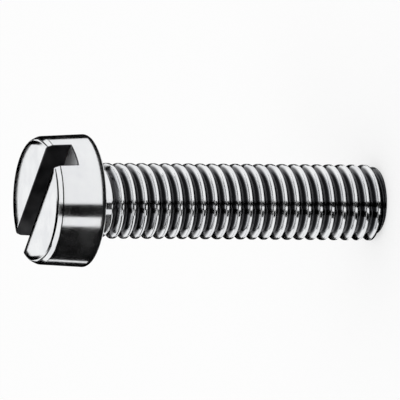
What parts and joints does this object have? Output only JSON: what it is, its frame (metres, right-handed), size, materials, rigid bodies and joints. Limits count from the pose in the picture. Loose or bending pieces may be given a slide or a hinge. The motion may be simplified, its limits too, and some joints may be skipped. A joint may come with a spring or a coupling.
{
  "type": "slotted cheese head machine screw",
  "caption": "Slotted cheese head machine screw, M5 x 20, right-hand coarse thread, with a plain neck and a flat end. It fastens a part to a tapped hole or a nut.",
  "frame": {"origin": "centre of the bearing face under the head, on the screw's axis", "axes": "+Z along the screw's axis, from the flat end towards the head; +X along the driver slot"},
  "size_m": [0.0085, 0.0084, 0.0233],
  "materials": {
    "steel": "bright zinc plated steel, turned head, rolled thread"
  },
  "bodies": {
    "root": {"screw": "steel"}
  },
  "joints": []
}
